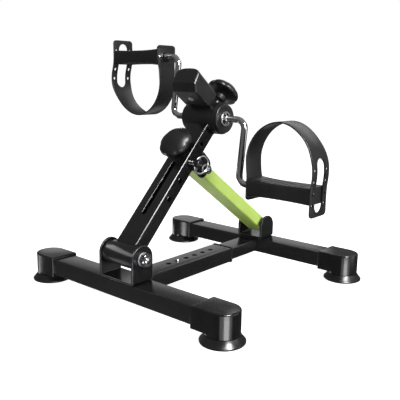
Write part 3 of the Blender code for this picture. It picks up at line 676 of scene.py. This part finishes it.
def pivot_barrel():
    r = BARREL_R
    profile = [(M10_HOLE_R, -0.0312), (r - 0.0012, -0.0312), (r - 0.0004, -0.0309), (r, -0.0301),
               (r, 0.0301), (r - 0.0004, 0.0309), (r - 0.0012, 0.0312), (M10_HOLE_R, 0.0312)]
    piece("pivot_barrel", lathe(profile, column_x(), 96), PAINT, sharp=50)


def head_drum():
    body = tube(circle(DRUM_R, 96), circle(0.0215, 96), -DRUM_HALF, DRUM_HALF, column_x(CRANK_U))
    body = cut(body, prism(circle(0.0056), 0.010, 0.040, column_u(CRANK_U)))
    piece("head_drum", body, SATIN, 0.0005, 3)


def tension_boss():
    place = column_u(CRANK_U)
    body = lathe([(0, 0.0180), (0.0090, 0.0180), (0.0090, 0.0312), (0.0084, 0.0318), (0, 0.0318)], place)
    body = cut(body, prism(circle(DRUM_R + 0.0002, 96), -0.03, 0.03, column_x(CRANK_U)))
    piece("tension_boss", cut(body, prism(circle(0.0049), 0.010, 0.040, place)), PAINT, sharp=40)


def offset(outline, steps):
    """Moves each edge of the outline inwards by its own step and finds the new corners."""
    lines = []
    for i, point in enumerate(outline):
        a, b = Vector(point), Vector(outline[(i + 1) % len(outline)])
        along = (b - a).normalized()
        lines.append((a + steps[i] * Vector((-along.y, along.x)), along))
    made = []
    for i, (p, d) in enumerate(lines):
        q, e = lines[i - 1]
        t = ((q - p).x * e.y - (q - p).y * e.x) / (d.x * e.y - d.y * e.x)
        made.append(tuple(p + t * d))
    return made


# The console's side outline and its plug's centre and facet, as distances along N and U
CONSOLE_SIDE = [(-0.0864, 0.2819), (-0.0812, 0.2562), (-0.0690, 0.2484),
                (-0.0335, 0.2541), (-0.0266, 0.2875)]
PLUG_CENTRE = Vector((-0.0500, 0.25160))
PLUG_ALONG = Vector((0.0337, 0.0055)).normalized()


def plug_place():
    across = PLUG_ALONG.x * N + PLUG_ALONG.y * U
    return axes(PIVOT + PLUG_CENTRE.x * N + PLUG_CENTRE.y * U, X, across, X.cross(across))


def console():
    """A moulded hood with a crowned top."""
    half = 0.0238
    slices = []
    for k in range(-16, 17):
        x = half * math.sin(math.pi / 2 * k / 16)
        steps = []
        for r in (0.0042, 0.0020, 0.0020, 0.0010):
            past = max(0.0, abs(x) - (half - r))
            steps.append(r - math.sqrt(max(r * r - past * past, 0.0)))
        steps.append(0.0150 * (1 - max(1 - abs(x / half) ** 2.7, 0.0) ** (1 / 2.7)))
        outline = fillet(offset(CONSOLE_SIDE, steps), (0.0030, 0.0026, 0.0026, 0.0008, 0.0030))
        slices.append([(p, q, x) for p, q in outline])
    body = loft(slices, column_x())
    hollow = [(-0.0780, 0.2660), (-0.0765, 0.2590), (-0.0680, 0.2525), (-0.0200, 0.2590), (-0.0200, 0.2740)]
    body = cut(body, prism(hollow, -0.0170, 0.0170, column_x()))
    body = cut(body, prism(circle(0.0050), -0.002, 0.0012, plug_place()))
    piece("console_cover", body, PLASTIC, sharp=36)
    dome = lathe([(0, 0.0010), (0.0048, 0.0010), (0.0048, -0.0004), (0.0044, -0.0009), (0.0034, -0.0012),
                  (0, -0.0013)], plug_place())
    piece("console_plug", dome, GREY)


def bearing_cup(name, side):
    place = axes(CRANK, Y, Z, X) if side > 0 else axes(CRANK, Z, Y, -X)
    profile = [(0, 0.0210), (0.0213, 0.0210), (0.0213, 0.0313), (0.0224, 0.0313), (0.0228, 0.0317)]
    profile += [(0.0209 + r, 0.0340 + h) for r, h in arc(0, 0, 0.0019, 0, 90, 6)]
    profile += [(0.0146, 0.0359), (0.0139, 0.0355), (0.0130, 0.0351), (0, 0.0351)]
    body = cut(lathe(profile, place, 96), prism(circle(ROD_BORE_R), 0.0, 0.05, place))
    piece(name, body, PLASTIC, sharp=36)


def strut_bracket():
    low, high, web, reach, r = 0.1655, 0.2000, 0.0123, 0.0420, 0.0125
    outline = [(web, low)] + arc(reach - r, low + r, r, -90, 0, 14) + arc(reach - r, high - r, r, 0, 90, 14)
    outline += [(web, high)]
    body = prism(outline, -0.0204, 0.0204, column_x())
    body = cut(body, box((web + 0.0030, low - 0.01, -0.0179), (0.06, high + 0.01, 0.0179), column_x()))
    body = cut(body, prism(circle(M8_HOLE_R), -0.03, 0.03, column_x(CARRIAGE_U, EAR_N)))
    piece("strut_bracket", body, PAINT, 0.0005, 2, 50)
    place = column_x(CARRIAGE_U, EAR_N)
    bolt = add(threaded(0.0040, -0.0240, 0.0309, 0.0215, place), hex_body(0.013, -0.0278, -0.0223, place))
    piece("strut_bolt", bolt, ZINC)
    nut = cut(hex_body(0.013, 0.0223, 0.0288, place), prism(circle(M8_HOLE_R), 0.02, 0.03, place))
    piece("strut_nut", nut, ZINC, 0.0003, 2)
    for label, at in (("left", -0.0221), ("right", 0.0206)):
        washer(f"strut_washer_{label}", 0.0080, 0.0042, at, at + 0.0015, place)


def strut():
    place = axes(PROP_FOOT, X, M, E)
    outer = rounded_rect(0.0350, 0.0210, 0.0028)
    inner = rounded_rect(0.0350 - 2 * WALL, 0.0210 - 2 * WALL, 0.0014)
    body = tube(outer, inner, -0.0090, PROP_LEN + 0.0110, place)
    body = cut(body, prism(circle(0.0081), -0.03, 0.03, axes(PROP_FOOT, M, E, X)),
               prism(circle(0.0055), -0.03, 0.03, axes(PROP_HEAD, M, E, X)))
    piece("strut_tube", body, LIME, 0.0003, 2).visible_glossy = False


# ----------------------------------------------------------------- crank

def bent(a, b, c, r, count=14):
    p, q = (a - b).normalized(), (c - b).normalized()
    centre = b + r * (p + q)
    turns = (math.pi / 2 * i / count for i in range(count + 1))
    return [centre - r * (math.cos(t) * q + math.sin(t) * p) for t in turns]


def crank():
    hub = {side: joint_at(f"pedal_{side}_spin") for side in ("left", "right")}
    left, right = ((CRANK.x * X + hub[side].y * Y + hub[side].z * Z) for side in ("left", "right"))
    arm_x, bend = 0.0741, 0.0140
    tip = (hub["right"].x + PEDAL_LEN / 2 - 0.0080) * X
    path = [left - tip] + bent(left - tip, left - arm_x * X, CRANK - arm_x * X, bend)
    path += bent(left - arm_x * X, CRANK - arm_x * X, CRANK, bend)
    path += bent(CRANK, CRANK + arm_x * X, right + arm_x * X, bend)
    path += bent(CRANK + arm_x * X, right + arm_x * X, right + tip, bend) + [right + tip]
    piece("crank_rod", sweep(path, ROD_R, X.cross((left - CRANK).normalized()), 40), CHROME)


def snap_ring(name, side):
    """A retaining ring with three inner tabs and a gap."""
    outline = arc(0, 0, 0.0112, 30, 330, 48)
    inner = []
    for k in range(61):
        angle = 330 - 5 * k
        near = min(abs(angle - c) for c in (90, 180, 270)) <= 8
        r = 0.0060 if near else 0.0090
        inner.append((r * math.cos(math.radians(angle)), r * math.sin(math.radians(angle))))
    low = side * 0.0366 - 0.0007
    piece(name, prism(outline + inner, low, low + 0.0014, along_x(CRANK)), WIRE, 0.0002, 2)


# ---------------------------------------------------------------- pedals

def strap_path(bulge):
    half, b = PEDAL_LEN / 2 + 0.0014, bulge
    return spline([(-half, -0.0192), (-half, 0.0060), (-0.0560, 0.0290), (-0.0562, 0.0480),
                   (-0.0500, 0.0670), (-0.0370, 0.0840), (-0.0200, 0.0945), (-0.0030, 0.0980),
                   (0.0145 + 0.3 * b, 0.0945), (0.0320 + 0.8 * b, 0.0830), (0.0460 + b, 0.0660),
                   (0.0538 + b, 0.0470), (0.0556 + 0.7 * b, 0.0290), (half, 0.0060), (half, -0.0298)], 6)


def ease(value, start, end):
    t = max(0.0, min(1.0, (value - start) / (end - start)))
    return t * t * (3 - 2 * t)


def strap_half(x, z):
    """Half the strap's width: full at both tabs, waisted over the arch."""
    if x > 0:
        return 0.0224 - 0.0036 * ease(z, 0.046, 0.080)
    return 0.0216 - 0.0028 * ease(z, -0.002, 0.022)


def strap(name, bulge, place):
    line = strap_path(bulge)
    thick = 0.0022
    loops = []
    for i, (x, z) in enumerate(line):
        (x0, z0), (x1, z1) = line[max(i - 1, 0)], line[min(i + 1, len(line) - 1)]
        length = math.hypot(x1 - x0, z1 - z0)
        px, pz = (z0 - z1) / length, (x1 - x0) / length
        section = rounded_rect(thick, 2 * strap_half(x, z), 0.0007, 3)
        loops.append([(x + px * out, y, z + pz * out) for out, y in section])
    body = loft(loops, place)
    across = place @ axes(Vector(), Y, Z, X)
    slot = [(y, z) for z, y in capsule(-0.0133, 0.0415, 0.0105)]
    tools = [prism(slot, 0.03, 0.07, across)]
    for z in (-0.0117, 0.0043, 0.0203, 0.0363):
        tools += [prism(circle(0.0026, 24, y, z), 0.03, 0.07, across) for y in (-RIVET_Y, RIVET_Y)]
    tools += [prism(circle(0.0022, 24, y, RIVET_Z), -0.07, -0.03, across) for y in (-RIVET_Y, RIVET_Y)]
    tools.append(prism(circle(0.0084), -0.07, -0.03, across))
    r = 0.0070
    for low, w, x0, x1 in ((-0.0298, 0.0224, 0.03, 0.07), (-0.0192, 0.0216, -0.07, -0.03)):
        for s in (-1, 1):
            past = s * (w + 0.002)
            corner = [(past, low - 0.002), (s * (w - r), low - 0.002)]
            corner += [(s * a, b) for a, b in arc(w - r, low + r, r, -90, 0, 12)] + [(past, low + r)]
            tools.append(prism(corner, x0, x1, across))
    piece(name, cut(body, *tools), STRAP, 0.0004, 2, 60)


def pedal_block(name, place):
    across = place @ axes(Vector(), Y, Z, X)
    half = PEDAL_LEN / 2
    loops = []
    for k in range(25):
        x = PEDAL_LEN * k / 24
        t = 2 * x / PEDAL_LEN - 1
        h = 0.0222 + (0.0046 if t < 0 else 0.0024) * abs(t) ** 2.6
        edge = 0.0006 if k in (0, 24) else 0.0
        outline = rounded_rect(PEDAL_DEEP - 0.0010 - edge, h - edge, 0.0040, 5)
        loops.append([(y, z, x - half) for y, z in outline])
    body = loft(loops, across)
    grooves = [box((-0.03, 0.0104, x - 0.0009), (0.03, 0.02, x + 0.0009), across)
               for x in (0.0085 * i for i in range(-4, 5))]
    body = cut(body, *grooves)
    peg = [(0, half - 0.004), (0.0022, half - 0.004), (0.0022, half + 0.0038), (0.0018, half + 0.0042),
           (0, half + 0.0042)]
    pegs = [lathe(peg, across @ Matrix.Translation((y, 0.0043, 0)), 24) for y in (-RIVET_Y, RIVET_Y)]
    hub = lathe([(0, 0.004 - half), (0.0080, 0.004 - half), (0.0080, -half - 0.0044),
                 (0.0072, -half - 0.0052), (0, -half - 0.0052)], across)
    body = add(body, hub, *pegs)
    holes = [prism(circle(0.0020, 24, y, RIVET_Z), -half - 0.01, -half + 0.0065, across)
             for y in (-RIVET_Y, RIVET_Y)]
    body = cut(body, *holes, prism(circle(ROD_BORE_R), -half - 0.01, half - 0.0060, across))
    piece(name, body, PLASTIC, 0.0003, 2, 50)


def pedal(label, side):
    place = axes(joint_at(f"pedal_{label}_spin"), side * X, Y, side * Z)
    across = place @ axes(Vector(), Y, Z, X)
    pedal_block(f"pedal_block_{label}", place)
    strap(f"pedal_strap_{label}", 0.0 if side > 0 else 0.0045, place)
    half = PEDAL_LEN / 2
    rivet = [(0, -half - 0.0042), (0.0010, -half - 0.0041), (0.0020, -half - 0.0038),
             (0.0027, -half - 0.0033), (0.0030, -half - 0.0027), (0.0019, -half - 0.0027),
             (0.0019, -half + 0.0060), (0, -half + 0.0060)]
    for row, y in (("front", -RIVET_Y), ("rear", RIVET_Y)):
        body = lathe(rivet, across @ Matrix.Translation((y, RIVET_Z, 0)), 32)
        piece(f"strap_rivet_{label}_{row}", body, ZINC, sharp=50)


# --------------------------------------------------------- knobs and pin

def lobed(r, angle):
    depth = max(0.0, min(1.0, (r - 0.012) / 0.014))
    return r * (1 - 0.045 * depth * (0.5 + 0.5 * math.cos(7 * angle)) ** 3)


def knob(name, look, place):
    shape = [(0.0112, 0.0090), (0.0160, 0.0118), (0.0220, 0.0136), (0.0262, 0.0152), (0.0270, 0.0185),
             (0.0252, 0.0232), (0.0190, 0.0280), (0.0100, 0.0312), (0.0040, 0.0320)]
    profile = [(0, 0.0006), (0.0096, 0.0006), (0.0102, 0.0012), (0.0108, 0.0082)]
    profile += spline(shape, 4) + [(0, 0.0321)]
    body = lathe(profile, place, 168, lobed)
    piece(name, cut(body, prism(circle(M8_HOLE_R), -0.002, 0.0120, place)), look, sharp=50)


def lock_pin():
    centre = PIVOT + PIN_U * U
    place = axes(centre, N, U, X)
    out, across = Vector((0.084, 0.954, -0.289)).normalized(), Vector((-0.168, -0.272, -0.948))
    across = (across - across.dot(out) * out).normalized()
    hook, ring_r, wire = centre + 0.0282 * X, 0.0137, 0.00120
    profile = [(0, -0.0235), (0.0030, -0.0235), (0.0042, -0.0220), (0.0042, 0.0225), (0.0046, 0.0226),
               (0.0050, 0.0232), (0.0050, 0.0296), (0.0046, 0.0301), (0.0030, 0.0302), (0.0030, 0.0366),
               (0.0024, 0.0372), (0, 0.0372)]
    eye = prism(circle(0.0016, 24), -0.010, 0.010, axes(hook + 0.0004 * out, out, across, out.cross(across))
                @ Matrix.Rotation(math.radians(-90), 4, "X"))
    piece("lock_pin_shaft", cut(lathe(profile, place), eye), CHROME, 0.0002, 2)
    collar = [(0.00305, 0.0304), (0.0052, 0.0304), (0.0060, 0.0307), (0.0064, 0.0314), (0.0066, 0.0330),
              (0.0066, 0.0370), (0.0063, 0.0381), (0.0055, 0.0388), (0.0038, 0.0390), (0.00305, 0.0390)]
    piece("lock_pin_collar", lathe(collar, place), PLASTIC, sharp=50)
    turns = (2 * math.pi * i / 96 for i in range(96))
    path = [hook + ring_r * (out + math.cos(a) * out + math.sin(a) * across) for a in turns]
    piece("lock_pin_ring", sweep(path, wire, out.cross(across), 14, True), WIRE, sharp=80)


def object_pieces():
    cross_tube("front_cross_tube", -1)
    cross_tube("rear_cross_tube", 1)
    for label, side, end in (("front_left", -1, -1), ("front_right", 1, -1), ("rear_left", -1, 1),
                             ("rear_right", 1, 1)):
        foot_cap(f"foot_cap_{label}", side, end)
        foot_pad(f"foot_pad_{label}", side, end)
    outer_rail()
    rail_end_collar()
    inner_rail()
    snap_button_spring()
    bracket("front_bracket", PIVOT, 0.0315, 0.00525)
    bracket("rear_bracket", PROP_FOOT - 0.0022 * Z, 0.0220, 0.0)
    bracket_welds()
    pivot_hardware()
    column_tube()
    column_welds()
    pivot_barrel()
    head_drum()
    tension_boss()
    console()
    bearing_cup("bearing_cup_left", -1)
    bearing_cup("bearing_cup_right", 1)
    strut_bracket()
    strut()
    crank()
    snap_ring("snap_ring_left", -1)
    snap_ring("snap_ring_right", 1)
    pedal("left", -1)
    pedal("right", 1)
    clamp = joint_at("clamp_knob_turn")
    knob("clamp_knob", SATIN, axes(clamp, X, U, -N))
    knob("tension_knob", PLASTIC, axes(joint_at("tension_knob_turn"), X, N, U))
    lock_pin()


def carried_over():
    """The plain inner nodes keep their CAD shape and get these finishes."""
    looks = {"carriage_block": PLASTIC, "brake_pad": FELT, "console_bracket": PAINT, "clamp_stud": ZINC,
             "tension_screw": CHROME, "strut_bush": PAINT, "rear_pivot_pin": ZINC}
    for name, look in looks.items():
        mesh = frame["nodes"][name].data
        mesh.materials.clear()
        mesh.materials.append(look)
        mesh.shade_smooth()
        mesh.set_sharp_from_angle(angle=math.radians(34))


# ------------------------------------------------------ camera and light

def camera():
    azimuth, elevation, roll = math.radians(40.242), math.radians(11.839), math.radians(0.796)
    ahead = Vector((-math.sin(azimuth) * math.cos(elevation), math.cos(azimuth) * math.cos(elevation),
                    -math.sin(elevation)))
    right = ahead.cross(Z).normalized()
    up = right.cross(ahead)
    level = right * math.cos(roll) + up * math.sin(roll)
    top = up * math.cos(roll) - right * math.sin(roll)
    data = bpy.data.cameras.new("camera")
    data.lens, data.sensor_width = 52.69, 36.0
    data.clip_start, data.clip_end = 0.01, 100
    made = bpy.data.objects.new("camera", data)
    made.matrix_world = axes(Vector((0.5986, -0.7060, 0.3258)), level, top, -ahead)
    bpy.context.scene.collection.objects.link(made)
    bpy.context.scene.camera = made


def panel(name, azimuth, elevation, distance, size, radiance, target=(0, 0, 0.15), seen="both"):
    """A soft light aimed at the target. Azimuth 0 is -Y, the object's front, and 90 is +X."""
    a, e = math.radians(azimuth), math.radians(elevation)
    towards = Vector((math.sin(a) * math.cos(e), -math.cos(a) * math.cos(e), math.sin(e)))
    data = bpy.data.lights.new(name, "AREA")
    data.shape, data.size, data.size_y = "RECTANGLE", size[0], size[1]
    data.energy = radiance * math.pi * size[0] * size[1]
    made = bpy.data.objects.new(name, data)
    made.location = Vector(target) + distance * towards
    made.rotation_euler = towards.to_track_quat("Z", "Y").to_euler()
    made.visible_camera = False
    made.visible_diffuse = seen != "glossy"
    made.visible_glossy = seen != "diffuse"
    bpy.context.scene.collection.objects.link(made)
    return made


def accents():
    """Small lights that each serve only a few pieces."""
    lights = {
        panel("barrel_high_light", -50, 29, 1.6, (2.00, 0.66), 3.1, PIVOT, "glossy"):
            ("pivot_barrel", "front_bracket"),
        panel("barrel_low_light", -65, -42, 1.6, (1.60, 0.66), 0.7, PIVOT, "glossy"):
            ("pivot_barrel", "front_bracket"),
        panel("rear_cap_strip", -28, -14.2, 0.05, (0.012, 0.04), 6.0, (-0.166, 0.138, 0.03), "glossy"):
            ("foot_cap_rear_left",),
        panel("front_cap_strip", -37, -18, 0.065, (0.014, 0.05), 3.4, (-0.191, -0.1615, 0.03), "glossy"):
            ("foot_cap_front_left",),
    }
    for light, names in lights.items():
        group = bpy.data.collections.new(light.name + "_pieces")
        for name in names:
            group.objects.link(bpy.data.objects[name + "_detail"])
        light.light_linking.receiver_collection = group


def studio():
    low, middle = (0, 0, -0.45), (0, 0, 0.15)
    panel("low_strip", 59, 0, 1.4, (0.66, 0.50), 8.0, low, "glossy")
    panel("low_strip_edge", 56, 0, 1.35, (1.70, 0.50), 1.7, low, "glossy")
    panel("low_left_strip", -95, 0, 1.2, (0.60, 0.50), 2.3, low, "glossy")
    panel("crank_strip", 108, 0, 1.3, (0.80, 0.90), 1.5, (0, 0, 0.25), "glossy")
    panel("side_panel", 114, 20, 1.3, (1.05, 1.40), 4.2, middle, "diffuse")
    panel("rim_light", 74, 41, 1.3, (0.42, 0.65), 45, middle, "glossy")
    panel("rear_panel", -132, 14, 1.3, (1.2, 0.36), 0.6, (0, 0.15, 0.05))
    panel("rear_high_light", -176, 36, 1.3, (1.2, 0.40), 1.6, middle, "glossy")
    panel("rear_floor_light", -143, -43, 1.3, (1.00, 0.60), 0.9, middle, "glossy")
    panel("overhead_light", -30, 66, 1.5, (0.70, 0.70), 2.0, middle, "diffuse")
    panel("front_fill", -15, 0, 1.5, (1.4, 1.4), 1.5, middle, "diffuse")
    panel("floor_bounce", 0, -55, 0.40, (0.36, 0.36), 2.2, PROP_HEAD, "diffuse")
    world = bpy.data.worlds.new("studio")
    bpy.context.scene.world = world
    world.use_nodes = True
    tree = world.node_tree
    sky = tree.nodes["Background"]
    direction = tree.nodes.new("ShaderNodeTexCoord")
    split = tree.nodes.new("ShaderNodeSeparateXYZ")
    ramp = tree.nodes.new("ShaderNodeValToRGB")
    lift = tree.nodes.new("ShaderNodeMapRange")
    lift.inputs["From Min"].default_value, lift.inputs["From Max"].default_value = -1.0, 1.0
    stops = ((0.0, 0.05), (0.46, 0.05), (0.53, 0.12), (0.75, 0.16), (1.0, 0.24))
    ramp.color_ramp.elements[0].position, ramp.color_ramp.elements[1].position = stops[0][0], stops[-1][0]
    for place, level in stops[1:-1]:
        ramp.color_ramp.elements.new(place)
    for element, (place, level) in zip(ramp.color_ramp.elements, stops):
        element.position = place
        element.color = (level, level, level, 1)
    tree.links.new(direction.outputs["Generated"], split.inputs["Vector"])
    tree.links.new(split.outputs["Z"], lift.inputs["Value"])
    tree.links.new(lift.outputs["Result"], ramp.inputs["Fac"])
    tree.links.new(ramp.outputs["Color"], sky.inputs["Color"])
    white = tree.nodes.new("ShaderNodeBackground")
    ray = tree.nodes.new("ShaderNodeLightPath")
    choose = tree.nodes.new("ShaderNodeMixShader")
    tree.links.new(ray.outputs["Is Camera Ray"], choose.inputs["Fac"])
    tree.links.new(sky.outputs["Background"], choose.inputs[1])
    tree.links.new(white.outputs["Background"], choose.inputs[2])
    white.inputs["Color"].default_value = (1, 1, 1, 1)
    tree.links.new(choose.outputs["Shader"], tree.nodes["World Output"].inputs["Surface"])


def floor():
    mesh = bpy.data.meshes.new("floor")
    bm = bmesh.new()
    bmesh.ops.create_grid(bm, x_segments=1, y_segments=1, size=12)
    bm.to_mesh(mesh)
    bm.free()
    look = Surface("floor", (0.90, 0.90, 0.90), 0.9)
    look.shader.inputs["Specular IOR Level"].default_value = 0.0
    look.shader.inputs["Emission Color"].default_value = (1, 1, 1, 1)
    look.shader.inputs["Emission Strength"].default_value = 0.94
    mesh.materials.append(look.material)
    made = bpy.data.objects.new("floor", mesh)
    made.visible_glossy = made.visible_diffuse = made.visible_shadow = False
    bpy.context.scene.collection.objects.link(made)


camera()
studio()
floor()
object_pieces()
carried_over()
accents()
bpy.context.scene.view_settings.view_transform = "Standard"
